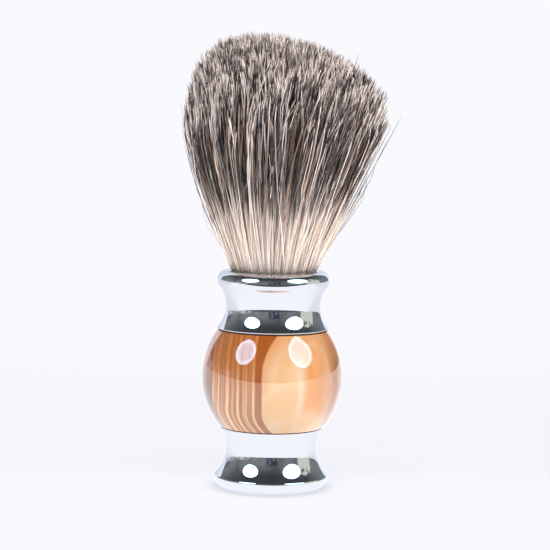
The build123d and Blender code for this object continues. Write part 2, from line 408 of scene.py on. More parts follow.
def turned(name, outline):
    """A closed mesh of revolution about Z from a closed outline of (radius, height) in mm."""
    mesh = bpy.data.meshes.new(name)
    build = bmesh.new()
    angles = [math.tau * step / TURN_STEPS for step in range(TURN_STEPS)]
    rings = []
    for radius, height in outline:
        if radius < ON_AXIS:
            rings.append([build.verts.new((0, 0, height * MM))])
            continue
        places = [(radius * MM * math.cos(a), radius * MM * math.sin(a), height * MM) for a in angles]
        rings.append([build.verts.new(place) for place in places])
    for low, high in zip(rings, rings[1:] + rings[:1]):
        if len(low) == 1 and len(high) == 1:
            continue
        for step in range(TURN_STEPS):
            after = (step + 1) % TURN_STEPS
            corners = [low[step % len(low)], low[after % len(low)]]
            corners += [high[after % len(high)], high[step % len(high)]]
            build.faces.new(list(dict.fromkeys(corners)))
    bmesh.ops.recalc_face_normals(build, faces=build.faces)
    build.to_mesh(mesh)
    build.free()
    mesh.shade_smooth()
    mesh.set_sharp_from_angle(angle=SHARP_ANGLE)
    piece = bpy.data.objects.new(name, mesh)
    bpy.context.collection.objects.link(piece)
    return piece


def finish_piece(piece, made, node):
    """Give a piece of the handle its material, and let it stand for a node of the frame."""
    piece.data.materials.append(made)
    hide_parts(node)
    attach(piece, "handle")


def foot_outline():
    """The foot's section, as in the CAD model."""
    contact, rim, flare = (11.2, 0.0), (13.75, 2.6), (13.55, 3.12)
    waist, top = (11.0, 9.5), (12.5, 14.6)
    outline = [contact, *tangent_arc(rim, (0, -1), contact)[::-1]]
    outline += tangent_arc(rim, (0, 1), flare)[1:]
    outline += three_point_arc(flare, waist, top)
    outline += [top, (3.3, 14.6), (3.3, 11.5), (8.5, 11.5), (8.5, 1.2), (10.2, 1.2), (10.2, 0.0)]
    return outline


def collar_outline():
    """The collar's section, as in the CAD model."""
    base_face, base_side, waist, neck_top = (13.05, 38.3), (13.35, 38.6), (11.4, 43.9), (13.2, 48.65)
    lip_low, lip_high, crest, mouth = (13.55, 49.6), (13.55, 50.0), (11.15, 52.4), (10.0, 51.25)
    upper_neck = tangent_arc(waist, (0, 1), neck_top)
    outline = tangent_arc(base_face, (1, 0), base_side)
    outline += [base_side, *tangent_arc(waist, (0, -1), base_side)[:0:-1], *upper_neck]
    outline += tangent_arc(neck_top, direction_between(upper_neck[-1], neck_top), lip_low)
    outline += [lip_low]
    outline += tangent_arc(lip_high, (0, 1), crest)
    outline += tangent_arc(crest, (-1, 0), mouth)
    outline += [mouth, (10.0, 41.0), (0.0, 41.0)]
    outline += [(0.0, 39.2), (3.05, 39.2), (3.05, 30.3), (5.0, 30.3), (5.0, 38.3)]
    return outline


def ball_outline():
    """The resin ball's section, as in the CAD model."""
    widest, top_r, low_z, high_z = (17.0, BALL_MIDDLE), 13.4, 14.9, 38.0
    drop, rise = widest[0] - top_r, high_z - widest[1]
    arc_r = (rise**2 + drop**2) / (2 * drop)
    centre = (widest[0] - arc_r, widest[1])
    low_r = centre[0] + math.sqrt(arc_r**2 - (low_z - centre[1]) ** 2)
    outline = arc_about(centre, (low_r, low_z), (top_r, high_z), clockwise=False)
    outline += [(top_r, high_z), (5.1, high_z), (5.1, 30.2), (3.3, 30.2), (3.3, low_z)]
    return outline


def make_handle():
    """The foot, ball and collar, the rings between them, and the pad under the foot."""
    chrome = chrome_material()
    resin = resin_material()
    seal = plain_noise_material("seat_ring", rgb(70, 36, 26), rgb(48, 26, 22), 3.0, 0.6, 0.2)
    foam = plain_noise_material("foam_pad", rgb(44, 44, 47), rgb(30, 30, 33), 4.0, 0.9, 0.6)
    finish_piece(turned("foot_shell", foot_outline()), chrome, "foot")
    finish_piece(turned("collar_cup", collar_outline()), chrome, "collar")
    finish_piece(turned("ball_grip", ball_outline()), resin, "resin_ball")
    lower = [(12.25, 14.6), (12.25, 14.9), (6.0, 14.9), (6.0, 14.6)]
    upper = [(13.05, 38.0), (13.05, 38.3), (6.0, 38.3), (6.0, 38.0)]
    finish_piece(turned("lower_seal", lower), seal, "lower_seat_ring")
    finish_piece(turned("upper_seal", upper), seal, "upper_seat_ring")
    pad = [(0.0, 0.0), (10.1, 0.0), (10.1, 0.9), (9.8, 1.2), (0.0, 1.2)]
    finish_piece(turned("base_pad", pad), foam, "foot_pad")


# ------------------------------------------------------------------ surroundings

PALE = (0.955, 0.952, 0.99, 1)
SIDE_PALE = (1.26, 1.31, 1.5, 1)  # the backdrop's two sides
ROOM = (0.28, 0.295, 0.3, 1)
ROOM_HIGH = (0.07, 0.075, 0.08, 1)
ROOM_DARK = (0.03, 0.035, 0.05, 1)
SHELF_PALE = (0.8, 0.84, 0.92, 1)
PERSON = (0.24, 0.25, 0.4, 1)
PERSON_AZIMUTH = 0.05  # azimuths in radians, measured from the camera's side towards +X
WINDOW = (0.85, 0.92, 0.8, 1)
WINDOW_AZIMUTH = math.radians(90)
BACKDROP_CENTRE = math.radians(187.5)
BACKDROP_HALF_WIDTH = math.radians(35.5)
BACKDROP_BLUR = 0.01

LIGHT_DISTANCE = 0.9
LIGHT_AIM = Vector((0, 0, 50 * MM))
LIGHTS = (  # azimuth, elevation and half-angle in degrees, and radiance as polished surfaces show it
    (-53.3, 32.7, 17.0, 4.2),
    (55.7, 32.2, 19.8, 3.2),
)
LIGHT_COLOUR = (1, 0.985, 0.98, 1)
LIGHT_RADIANCE = 10.0  # as surfaces receive it
MIRRORED_COLOUR = (0.76, 1.14, 1.5, 1)
MIRRORED_MIDDLE, MIRRORED_RIM = 0.86, 1.25  # shares of the shown radiance, in a lamp's middle and rim
RIM_START, RIM_END = 0.62, 0.84  # shares of a lamp's radius

FLOOR_RADIUS = 3.0
FLOOR_DROP = 0.05 * MM  # the table lies this far under the brush
TABLE_FRONT = 0.36  # the table ends this far in front of the brush
TABLE_GLARE, TABLE_GLARE_BEHIND = 1.5, 1.22  # how much brighter it is than it shows
CONTACT_REACH = 6 * MM
CONTACT_SHADE = (0.72, 0.74, 0.81, 1)
SOFT_SHADE = (0.88, 0.88, 0.94, 1)


def room_colour(nodes, direction):
    """The dim room on the camera's side, paler near the horizon."""
    x, y, z = nodes.split(direction)
    azimuth = nodes.math("ARCTAN2", x, nodes.times(y, -1.0))
    room = nodes.tint(ROOM, ROOM_HIGH, z, 0.2, 0.85)
    clutter = nodes.noise(direction, (3.0, 3.0, 1.6))
    room = nodes.tint(room, ROOM_DARK, clutter, 0.45, 0.72, 0.4)

    # pale things on a low shelf at the left
    shelf = nodes.times(nodes.step(z, 0.15, 0.03), nodes.step(azimuth, -0.5, -0.8))
    things = nodes.step(nodes.noise(direction, (5.0, 5.0, 6.0)), 0.42, 0.6)
    room = nodes.mix(nodes.times(shelf, things), room, SHELF_PALE)

    # a dark shape behind the camera
    aside = nodes.apart(azimuth, PERSON_AZIMUTH)
    person = nodes.times(nodes.step(aside, 0.3, 0.16), nodes.step(z, 0.5, 0.3))
    patches = nodes.noise(direction, (7.0, 7.0, 7.0))
    dressed = nodes.tint(ROOM_DARK, PERSON, patches, 0.5, 0.62)
    room = nodes.mix(nodes.times(person, 0.8), room, dressed)

    # a window to the right
    from_window = nodes.apart(azimuth, WINDOW_AZIMUTH)
    glass = nodes.times(nodes.step(from_window, 0.36, 0.32), nodes.step(z, 0.62, 0.56))
    frames = nodes.step(nodes.noise(direction, (6.0, 6.0, 1.2)), 0.36, 0.42)
    return nodes.mix(nodes.times(glass, frames), room, WINDOW)


def make_world():
    """A white backdrop behind the brush, and a dim room on the camera's side."""
    world = bpy.data.worlds.new("studio")
    bpy.context.scene.world = world
    world.use_nodes = True
    nodes = Nodes(world.node_tree)
    direction = nodes.add("ShaderNodeTexCoord").outputs["Generated"]
    flat = nodes.vector("NORMALIZE", nodes.vector("MULTIPLY", direction, (1, 1, 0)))
    centre = (math.sin(BACKDROP_CENTRE), -math.cos(BACKDROP_CENTRE), 0)
    facing = nodes.add("ShaderNodeVectorMath", {0: flat, 1: centre}, operation="DOT_PRODUCT").outputs["Value"]
    edge = math.cos(BACKDROP_HALF_WIDTH)
    backdrop = nodes.step(facing, edge - BACKDROP_BLUR, edge + BACKDROP_BLUR)
    white = nodes.tint(SIDE_PALE, PALE, facing, edge, 1.0)
    around = nodes.mix(backdrop, room_colour(nodes, direction), white)
    colour = nodes.mix(nodes.ray("Camera"), around, PALE)
    sky = nodes.add("ShaderNodeBackground", {"Color": colour})
    output = nodes.add("ShaderNodeOutputWorld")
    nodes.put(output.inputs["Surface"], sky.outputs[0])


def lamp_material(radius, shown):
    """A lamp's glow: dimmer in mirrors than on other surfaces, and there dimmer in its middle."""
    made, nodes, shader = glowing("lamp")
    from_middle = nodes.length(nodes.add("ShaderNodeTexCoord").outputs["Object"])
    middle, rim = MIRRORED_MIDDLE * shown, MIRRORED_RIM * shown
    mirrored = nodes.step(from_middle, RIM_START * radius, RIM_END * radius, middle, rim)
    in_mirror = nodes.ray("Glossy")
    difference = nodes.math("SUBTRACT", mirrored, LIGHT_RADIANCE)
    nodes.put(shader.inputs["Strength"], nodes.line(in_mirror, difference, LIGHT_RADIANCE))
    nodes.put(shader.inputs["Color"], nodes.mix(in_mirror, LIGHT_COLOUR, MIRRORED_COLOUR))
    return made


def make_lights():
    """Two round studio lights, seen only in reflections."""
    for number, (azimuth, elevation, half_angle, shown) in enumerate(LIGHTS):
        radius = LIGHT_DISTANCE * math.tan(math.radians(half_angle))
        a, e = math.radians(azimuth), math.radians(elevation)
        towards = Vector((math.sin(a) * math.cos(e), -math.cos(a) * math.cos(e), math.sin(e)))
        bpy.ops.mesh.primitive_circle_add(vertices=64, radius=radius, fill_type="NGON")
        lamp = bpy.context.object
        lamp.name = f"studio_light_{number}"
        lamp.location = towards * LIGHT_DISTANCE + LIGHT_AIM
        lamp.rotation_euler = towards.to_track_quat("Z", "Y").to_euler()
        lamp.data.materials.append(lamp_material(radius, shown))
        lamp.visible_camera = False


def table_shade(nodes, x, y):
    """How far the table is shaded behind the brush and round its foot; x and y in metres."""
    behind = nodes.times(nodes.step(y, 0.0, 0.03), nodes.step(y, 0.36, 0.05, 0.0, 0.6))
    from_foot = nodes.length(nodes.join(x, nodes.line(y, 1.3, -0.025)))
    return nodes.math("ADD", behind, nodes.step(from_foot, 0.045, 0.012, 0.0, 0.4))


def table_material():
    """A pale table. In reflections it is brighter, and it ends in front, where they show the dim room."""
    made, nodes, shader = glowing("table")
    x, y, _ = nodes.split(nodes.add("ShaderNodeTexCoord").outputs["Object"])
    seen = nodes.ray("Camera")
    unseen = nodes.math("SUBTRACT", 1.0, seen)
    past_front = nodes.times(nodes.step(y, -TABLE_FRONT + 0.01, -TABLE_FRONT - 0.01), unseen)
    glare = nodes.step(y, 0.10, -0.02, TABLE_GLARE_BEHIND, TABLE_GLARE)
    strength = nodes.line(unseen, nodes.math("SUBTRACT", glare, 1.0), 1.0)

    # the contact shadow, narrower in reflections
    open_share = nodes.add("ShaderNodeAmbientOcclusion", {"Distance": CONTACT_REACH}, samples=8).outputs["AO"]
    narrow = nodes.times(unseen, nodes.step(open_share, 0.05, 0.3))
    clear = nodes.math("MAXIMUM", nodes.step(open_share, 0.3, 1.0), narrow)
    tone = nodes.mix(nodes.times(table_shade(nodes, x, y), seen), PALE, SOFT_SHADE)
    white = nodes.mix(clear, CONTACT_SHADE, tone)
    nodes.put(shader.inputs["Color"], nodes.mix(past_front, white, ROOM_HIGH))
    nodes.put(shader.inputs["Strength"], strength)
    return made


def make_floor():
    place = (0, 0, -FLOOR_DROP)
    bpy.ops.mesh.primitive_circle_add(vertices=96, radius=FLOOR_RADIUS, fill_type="NGON", location=place)
    floor = bpy.context.object
    floor.name = "table"
    floor.data.materials.append(table_material())


# ------------------------------------------------------------------ the pieces inside the handle


def brushed_material(name, colour, other, roughness):
    """Turned or pressed steel with fine tool marks."""
    made, nodes, shader = material(name, Metallic=1.0)
    marks = nodes.noise(nodes.point(), (1.5, 1.5, 14.0), detail=3)
    nodes.put(shader.inputs["Base Color"], nodes.mix(marks, colour, other))
    nodes.put(shader.inputs["Roughness"], nodes.step(marks, 0.3, 0.7, roughness * 0.7, roughness))
    nodes.put(shader.inputs["Normal"], nodes.bump(marks, 0.15, 0.02 * MM))
    return made


def packed_hair_material():
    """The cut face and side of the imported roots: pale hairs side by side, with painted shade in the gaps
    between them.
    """
    made, nodes, shader = material("packed_hair", Roughness=0.5)
    along_hairs = nodes.vector("MULTIPLY", nodes.point(), (1, 1, 0.05))
    gap = nodes.add("ShaderNodeTexVoronoi", {"Vector": along_hairs, "Scale": 6.0}).outputs["Distance"]
    # painted shade: darker in the recessed gaps between the hairs
    nodes.put(shader.inputs["Base Color"], nodes.mix(gap, rgb(235, 218, 200), rgb(150, 122, 100)))
    nodes.put(shader.inputs["Normal"], nodes.bump(gap, 0.6, -0.1 * MM))
    return made


def thread_material():
    """Waxed cotton thread with its twist."""
    made, nodes, shader = material("waxed_thread", Roughness=0.6)
    waves = {"Vector": nodes.point(), "Scale": 1.6, "Distortion": 0.6}
    twist = nodes.add("ShaderNodeTexWave", waves, bands_direction="DIAGONAL").outputs[0]
    nodes.put(shader.inputs["Base Color"], nodes.mix(twist, rgb(206, 200, 184), rgb(240, 236, 224)))
    nodes.put(shader.inputs["Normal"], nodes.bump(twist, 0.4, 0.05 * MM))
    return made


def dress_inside():
    """Materials for the CAD nodes that stay as they are."""
    steel = brushed_material("zinc_steel", rgb(196, 196, 200), rgb(166, 166, 172), 0.35)
    spring = brushed_material("spring_steel", rgb(120, 122, 128), rgb(88, 90, 96), 0.4)
    glue = plain_noise_material("setting_glue", rgb(224, 206, 158), rgb(208, 186, 132), 0.6, 0.25, 0.1)
    plug = plain_noise_material("cast_plug", rgb(220, 204, 166), rgb(204, 186, 146), 0.8, 0.4, 0.2)
    dressed = {
        "tie_stud": steel,
        "flat_washer": steel,
        "hex_nut": steel,
        "spring_washer": spring,
        "setting_glue": glue,
        "knot_plug": plug,
        "binding_thread": thread_material(),
        "hair_root": packed_hair_material(),
    }
    for node, made in dressed.items():
        node_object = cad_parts[node]
        node_object.data.materials.clear()
        node_object.data.materials.append(made)


# ------------------------------------------------------------------ hair
#
# Hairs, locks and clumps are placed in a unit disc: its middle is the tuft's axis and its rim the outermost
# hairs. Other sizes are in millimetres. A pair of numbers is the least and the most.

HAIRS = 22000
LOCKS = 4200  # hairs that end in one point
CLUMPS = 420  # locks that lean together
SIDE_PIECES = 3
GOLDEN = math.pi * (3 - math.sqrt(5))

TUFT_LOW, TUFT_HIGH = (Vector(corner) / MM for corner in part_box("hair_tuft"))
FAN_R = (TUFT_HIGH.y - TUFT_LOW.y) / 2
FAN_LEAN = (TUFT_HIGH.x + TUFT_LOW.x) / 2
DOME_HEIGHT = 19.8
DOME_LEAN = 6.3  # the crown lies this far back from the fan's middle, towards -X
FAN_Z = TUFT_HIGH.z - DOME_HEIGHT
ROOT_Z = TUFT_LOW.z - 1.6
ROOT_R = 9.4
EDGE_INSET = 0.1
EDGE_SHIFT = 0.7

# unevenness of the hairs', locks' and clumps' places
HAIR_JITTER, LOCK_JITTER, CLUMP_JITTER = 0.004, 0.006, 0.02
LOCK_SWAY, CLUMP_SWAY = 0.045, 0.022
CLUMP_DRAW = (0.05, 0.4)  # the share of the way that locks move to their clump's middle
LOCK_DRAW = (0.6, 0.98)  # and hairs to their lock's middle

# lengths
LENGTH_OVER = 0.6
LONGEST_OVER = 0.9
UNEVEN_LOCKS, UNEVEN_HAIRS = 1.6, 0.35
LOW_SHARE, LOW_FROM, LOW_CUT = 0.2, 0.86, (2, 20)  # outer locks that end well down the side
SHORT_SHARE, SHORT_CUT_OUTSIDE, SHORT_CUT_INSIDE = 0.14, 18, 6
LONG_SHARE, LONG_CUT = 0.02, (0.5, 1.8)
LEAST_LEFT, MOST_LEFT = 0.3, 1.08  # limits of a hair's length, as shares of its way to the dome

# hairs on the outside that cross the others at a slant, and strays that stand off
CROSSING_SHARE, CROSSING_FROM, CROSSING_SLANT, CROSSING_LIFT = 0.13, 0.84, 2.2, 0.9
STRONG_SLANT, STRONG_SHARE = 3, 0.2
STRAY_SHARE, STRAY_FROM, STRAY_LIFT, STRAY_BOW = 0.05, 0.9, (0.2, 1.8), 0.9
FAN_BOW = 1.0
LONG_STRAYS = (  # tips, and how far the hair bows outward
    (-22.8, -4.0, 88.0, 0.3),
    (-21.5, -8.0, 81.0, 0.2),
    (-20.1, 3.0, 76.0, 0.2),
    (-18.9, -8.0, 72.0, 0.1),
    (-23.8, -1.0, 92.0, 0.2),
    (26.6, -3.0, 84.0, 0.6),
    (25.4, 4.0, 80.0, 0.5),
    (24.6, -8.0, 79.0, 0.8),
    (23.4, -5.0, 75.0, 0.6),
    (27.2, 2.0, 86.5, 0.5),
    (21.2, -9.0, 71.0, 0.4),
    (22.4, 6.0, 73.0, 0.4),
    (28.0, -3.0, 91.0, 0.3),
    (30.6, 2.0, 91.0, 0.6),
    (20.0, 0.0, 106.6, 0.0),
)
LONG_STRAY_PLACE = 0.97
TIP_KICK = 0.8  # how far a lock's tips bend aside
KICK_START = 0.85  # the share of a hair's length at which they begin to

# points along a hair as shares of its length, and its radius
SIDE_STATIONS = np.array((0, 0.18, 0.36, 0.54, 0.7, 0.85, 0.94, 0.985, 1))
CORE_STATIONS = np.array((0, 0.35, 0.62, 0.85, 0.98, 1))
CORE_R = 0.72  # hairs nearer to the axis than this are hidden for most of their length
RADIUS_STATIONS = (0, 0.35, 0.7, 0.92, 0.985, 1)
RADII = (0.065, 0.09, 0.097, 0.086, 0.058, 0.02)
THICKNESS = (0.85, 1.15)
HAIR_WAVE = {"size": 0.25, "turns": 1.3}
LOCK_WAVE = {"size": 0.6, "turns": 1.1}

# looks: each hair has a column of the UV square, which says how dark its band and its tip are
TONES = 16
TIP_TONES = 8
COLUMNS = TONES * TIP_TONES
BAND_TONES, BAND_SHARES, BAND_LONERS = (0.08, 0.42, 0.9), (0.58, 0.23, 0.19), 0.12
END_TONES, END_SHARES, END_LONERS = (0.08, 0.45, 0.94), (0.37, 0.17, 0.46), 0.16
TONE_SPREAD = 0.1
CROSSING_PALER = 0.3
DARK_STRAYS, DARK_OTHERS, DARK_FROM = 0.4, 0.006, 0.88  # hairs that are dark down to the root
COLUMN_MARGIN = 0.08
ROW_MARGIN = 0.01
BAND_STOPS = (0.0, 0.3, 0.55, 1.0)
COOL_BAND = (rgb(34, 30, 33), rgb(66, 58, 60), rgb(150, 137, 135), rgb(240, 230, 226))
WARM_BAND = (rgb(44, 33, 30), rgb(88, 68, 58), rgb(180, 146, 126), rgb(246, 222, 206))
TIP_STOPS = (0.0, 0.5, 1.0)
TIP_COLOURS = (rgb(30, 26, 29), rgb(140, 124, 119), rgb(255, 241, 233))
ROOT_COOL, ROOT_WARM, ROOT_DARK = rgb(255, 246, 237), rgb(253, 230, 213), rgb(104, 88, 82)


def sunflower(count):
    """Evenly spread places in a unit disc."""
    index = np.arange(count) + 0.5
    distance = np.sqrt(index / count)
    angle = index * GOLDEN
    return np.stack([distance * np.cos(angle), distance * np.sin(angle)], axis=1)


def nearest(points, centres):
    """The index of the nearest centre to each point."""
    block_size = 2000
    found = np.empty(len(points), dtype=int)
    for first in range(0, len(points), block_size):
        block = points[first : first + block_size]
        squared = ((block[:, None] - centres[None]) ** 2).sum(axis=2)
        found[first : first + block_size] = squared.argmin(axis=1)
    return found


def from_middle(places):
    return np.sqrt((places**2).sum(axis=1))


def within_disc(places):
    """The places, with those outside the unit disc drawn in to its rim."""
    return places / np.maximum(1, from_middle(places))[:, None]


def on_dome(place):
    """The point of the tuft's domed top above a place of the unit disc."""
    inward = np.clip(1 - (place**2).sum(axis=1), 0, 1)
    x = FAN_LEAN + EDGE_SHIFT - DOME_LEAN * inward + (FAN_R - EDGE_INSET) * place[:, 0]
    y = (FAN_R - EDGE_INSET) * place[:, 1]
    return np.stack([x, y, FAN_Z + DOME_HEIGHT * np.sqrt(inward)], axis=1)


def smooth(values):
    return values * values * (3 - 2 * values)


def gathered_tips(random, place):
    """Each hair's lock, each lock's middle, and the tips: drawn together in locks, and those in clumps."""
    centres = sunflower(LOCKS) + random.normal(0, LOCK_JITTER, (LOCKS, 2))
    clump_centres = sunflower(CLUMPS) + random.normal(0, CLUMP_JITTER, (CLUMPS, 2))
    lock = nearest(place, centres)
    clump = nearest(centres, clump_centres)
    draw_in = random.uniform(*CLUMP_DRAW, CLUMPS)[clump][:, None]
    sway = random.normal(0, CLUMP_SWAY, (CLUMPS, 2))[clump] + random.normal(0, LOCK_SWAY, (LOCKS, 2))
    ends = centres + (clump_centres[clump] - centres) * draw_in + sway
    gather = random.uniform(*LOCK_DRAW, LOCKS)[lock][:, None]
    tip_place = place + (ends[lock] - place) * gather + (ends - centres)[lock] * (1 - gather)
    return lock, centres, on_dome(within_disc(tip_place))


def uneven_lengths(random, lock, centres, outness):
    """How much longer each hair is than its way to the dome; most are shorter."""
    over = LENGTH_OVER - np.abs(random.normal(0, UNEVEN_LOCKS, LOCKS))[lock]
    over += random.normal(0, UNEVEN_HAIRS, HAIRS)
    low_lock = (from_middle(centres) > LOW_FROM) & (random.random(LOCKS) < LOW_SHARE)
    over -= (low_lock * random.uniform(*LOW_CUT, LOCKS))[lock]
    short = random.random(HAIRS) < SHORT_SHARE
    deepest = np.where(outness > LOW_FROM, SHORT_CUT_OUTSIDE, SHORT_CUT_INSIDE)
    over -= short * random.uniform(0.5, 1, HAIRS) ** 2 * deepest
    long_hair = random.random(HAIRS) < LONG_SHARE
    over += long_hair * random.uniform(*LONG_CUT, HAIRS)
    return np.minimum(over, LONGEST_OVER)


def place_long_strays(place, stray, tip, bulge, over):
    """Give the longest few strays their set places, each to the nearest hair that isn't a stray yet."""
    for x, y, z, bow in LONG_STRAYS:
        towards = np.array((x - FAN_LEAN, y))
        off = ((place - LONG_STRAY_PLACE * towards / np.linalg.norm(towards)) ** 2).sum(axis=1)
        off[stray] = np.inf
        chosen = off.argmin()
        tip[chosen] = (x, y, z)
        bulge[chosen] = bow
        over[chosen] = 0
        stray[chosen] = True


def tip_kicks(random, lock, place, outness):
    """How far each hair's tip bends aside: with its lock, and less where that is outward at the rim."""
    kick = random.normal(0, TIP_KICK, (LOCKS, 2))[lock] + random.normal(0, 0.4 * TIP_KICK, (HAIRS, 2))
    outwards = np.maximum(0, (kick * place).sum(axis=1)) * outness**2
    return kick - (1.3 * outwards)[:, None] * place


def mixed_tones(random, lock, tones, shares, loners):
    """A tone from 0 to 1 for every hair: its lock's, or one of its own for a share of loners."""
    shared = random.choice(tones, LOCKS, p=shares)[lock]
    own = random.choice(tones, HAIRS, p=shares)
    tone = np.where(random.random(HAIRS) < loners, own, shared)
    return tone + random.normal(0, TONE_SPREAD, HAIRS)


def colour_columns(random, lock, outness, crossing, stray):
    """The column of the UV square that gives each hair its look."""
    tone = mixed_tones(random, lock, BAND_TONES, BAND_SHARES, BAND_LONERS) + crossing * CROSSING_PALER
    tip_tone = mixed_tones(random, lock, END_TONES, END_SHARES, END_LONERS)
    tone_step = np.clip(np.round(tone * (TONES - 1)), 1, TONES - 1).astype(int)
    dark_share = np.where(stray, DARK_STRAYS, DARK_OTHERS * (outness > DARK_FROM))
    tone_step[random.random(HAIRS) < dark_share] = 0
    tip_step = np.clip(np.round(tip_tone * (TIP_TONES - 1)), 0, TIP_TONES - 1).astype(int)
    return tone_step * TIP_TONES + tip_step


def grow_hairs(random):
    """Roots, tips, sideways bend, colour column and thickness of every hair."""
    place = sunflower(HAIRS) + random.normal(0, HAIR_JITTER, (HAIRS, 2))
    outness = np.minimum(from_middle(place), 1)
    place = within_disc(place)
    root = np.column_stack([place * ROOT_R, np.full(HAIRS, ROOT_Z)])
    outward = np.column_stack([place, np.zeros(HAIRS)])
    around = np.column_stack([-place[:, 1], place[:, 0], np.zeros(HAIRS)])
    lock, centres, tip = gathered_tips(random, place)
    over = uneven_lengths(random, lock, centres, outness)

    crossing = (outness > CROSSING_FROM) & (random.random(HAIRS) < CROSSING_SHARE)
    slant = random.normal(0, CROSSING_SLANT, HAIRS) * crossing
    slant = slant * random.choice((1, STRONG_SLANT), HAIRS, p=(1 - STRONG_SHARE, STRONG_SHARE))
    lift = crossing * random.uniform(0, CROSSING_LIFT, HAIRS)
    tip += around * slant[:, None] + outward * lift[:, None]

    stray = (outness > STRAY_FROM) & (random.random(HAIRS) < STRAY_SHARE)
    tip += outward * (stray * random.uniform(*STRAY_LIFT, HAIRS) ** 1.5 * 0.8)[:, None]
    bulge = FAN_BOW * outness**2 * (1 - 0.9 * np.clip(place[:, 0], 0, 1))
    bulge += stray * random.uniform(0, STRAY_BOW, HAIRS) * (1 + 0.7 * place[:, 0])
    place_long_strays(place, stray, tip, bulge, over)

    length = np.linalg.norm(tip - root, axis=1)
    kick = tip_kicks(random, lock, place, outness)
    column = colour_columns(random, lock, outness, crossing, stray)
    thickness = random.uniform(*THICKNESS, HAIRS) * (1 + 0.35 * crossing - 0.25 * stray)
    return {
        "root": root,
        "tip": tip,
        "shortened": np.clip((length + over) / length, LEAST_LEFT, MOST_LEFT),
        "outward": outward,
        "around": around,
        "lock": lock,
        "column": column,
        "thickness": thickness,
        "outness": outness,
        "bulge": bulge,
        "kick": kick,
        "place": place,
    }


def swing(random, count, size, turns):
    """A gentle wave for each of count hairs: its size, turns, phase and direction."""
    return {
        "size": np.abs(random.normal(0, size, count)),
        "turns": random.uniform(0.5 * turns, 1.5 * turns, count),
        "phase": random.uniform(0, math.tau, count),
        "towards": random.uniform(0, math.tau, count),
    }


def waved(hairs, wave, pick, chosen, share):
    """How far the wave pushes each point of the chosen hairs aside; it grows from nothing at the root."""
    size, turns, phase, towards = (wave[key][pick][:, None] for key in ("size", "turns", "phase", "towards"))
    push = size * smooth(np.clip(share * 2.2, 0, 1)) * np.sin(math.tau * turns * share + phase)
    side = np.cos(towards) * hairs["around"][chosen] + np.sin(towards) * hairs["outward"][chosen]
    return side[:, None] * push[..., None]


def hair_points(hairs, waves, chosen, stations):
    """Points along the chosen hairs."""
    share = stations[None, :] * hairs["shortened"][chosen][:, None]
    root, tip = hairs["root"][chosen], hairs["tip"][chosen]
    lean = np.array([FAN_LEAN, 0, 0])
    points = root[:, None] + (tip - root - lean)[:, None] * share[..., None] + lean * (share**2)[..., None]
    bulge = hairs["bulge"][chosen][:, None] * np.sin(math.pi * np.clip(share, 0, 1) ** 1.5)
    points += hairs["outward"][chosen][:, None] * bulge[..., None]
    points += waved(hairs, waves["hair"], chosen, chosen, share)
    points += waved(hairs, waves["lock"], hairs["lock"][chosen], chosen, share)
    bent = np.clip((stations - KICK_START) / (1 - KICK_START), 0, 1) ** 1.3
    points[..., :2] += hairs["kick"][chosen][:, None] * bent[None, :, None]
    return points


def tapered(points, thickness, stations, random):
    """Three-sided tubes along the points: rings of three corners each, the last point being the tip."""
    count = len(points)
    along = np.gradient(points, axis=1)
    along /= np.linalg.norm(along, axis=2, keepdims=True)
    spin = random.uniform(0, math.tau, count)
    level = np.stack([np.cos(spin), np.sin(spin), np.zeros(count)], axis=1)[:, None]
    first = level - (level * along).sum(axis=2, keepdims=True) * along
    first /= np.linalg.norm(first, axis=2, keepdims=True)
    second = np.cross(along, first)
    radius = np.interp(stations, RADIUS_STATIONS, RADII)
    radius = (radius[None] * thickness[:, None])[..., None]
    corners = []
    for turn in (0, math.tau / 3, 2 * math.tau / 3):
        corners.append(points + radius * (math.cos(turn) * first + math.sin(turn) * second))
    return np.stack(corners, axis=2)


def hair_faces(rings):
    """One hair's faces: four-sided ones between its rings, three at its tip and one across its root."""
    ring = np.arange(rings - 1)[:, None] * 3
    side = np.arange(3)[None]
    after = (side + 1) % 3
    quads = np.stack([ring + side, ring + after, ring + 3 + after, ring + 3 + side], axis=2).reshape(-1, 4)
    last = 3 * (rings - 1)
    tips = np.array([[last + k, last + (k + 1) % 3, 3 * rings] for k in range(3)])
    root_cap = np.array([2, 1, 0])
    sizes = np.concatenate([np.full(len(quads), 4), np.full(4, 3)])
    return np.concatenate([quads.ravel(), tips.ravel(), root_cap]), sizes


def corner_places(rings):
    """For each corner of those faces: how far round the hair it lies, from 0 to 1, and on which ring."""
    across = np.tile([[0, 1, 1, 0]], (rings - 1, 3)).reshape(-1, 4)
    side_of_quad = np.tile(np.arange(3), rings - 1)[:, None]
    quad_round = (side_of_quad + across) / 3
    tip_round = np.array([[k / 3, (k + 1) / 3, (k + 0.5) / 3] for k in range(3)])
    root_round = (0.9, 0.5, 0.1)
    quad_ring = np.repeat(np.arange(rings - 1), 3)[:, None] + np.array([[0, 0, 1, 1]])
    tip_ring = np.tile([[rings - 1, rings - 1, rings]], (3, 1))
    root_ring = (0, 0, 0)
    return (
        np.concatenate([quad_round.ravel(), tip_round.ravel(), root_round]),
        np.concatenate([quad_ring.ravel(), tip_ring.ravel(), root_ring]),
    )


def hair_uvs(hairs, chosen, stations):
    """Each corner's place in the UV square: in its hair's column, and as high as it lies along the hair.

    A hair cut short still ends in a tip's colour.
    """
    loop_round, loop_ring = corner_places(len(stations) - 1)
    column = hairs["column"][chosen][:, None]
    u = (column + COLUMN_MARGIN + (1 - 2 * COLUMN_MARGIN) * loop_round[None]) / COLUMNS
    along = stations[loop_ring]
    reached = np.minimum(1, hairs["shortened"][chosen])[:, None]
    v = along[None] * reached + (1 - reached) * smooth(np.clip((along[None] - 0.6) / 0.4, 0, 1))
    v = ROW_MARGIN + (1 - 2 * ROW_MARGIN) * v
    return np.stack([u.ravel(), v.ravel()], axis=1)


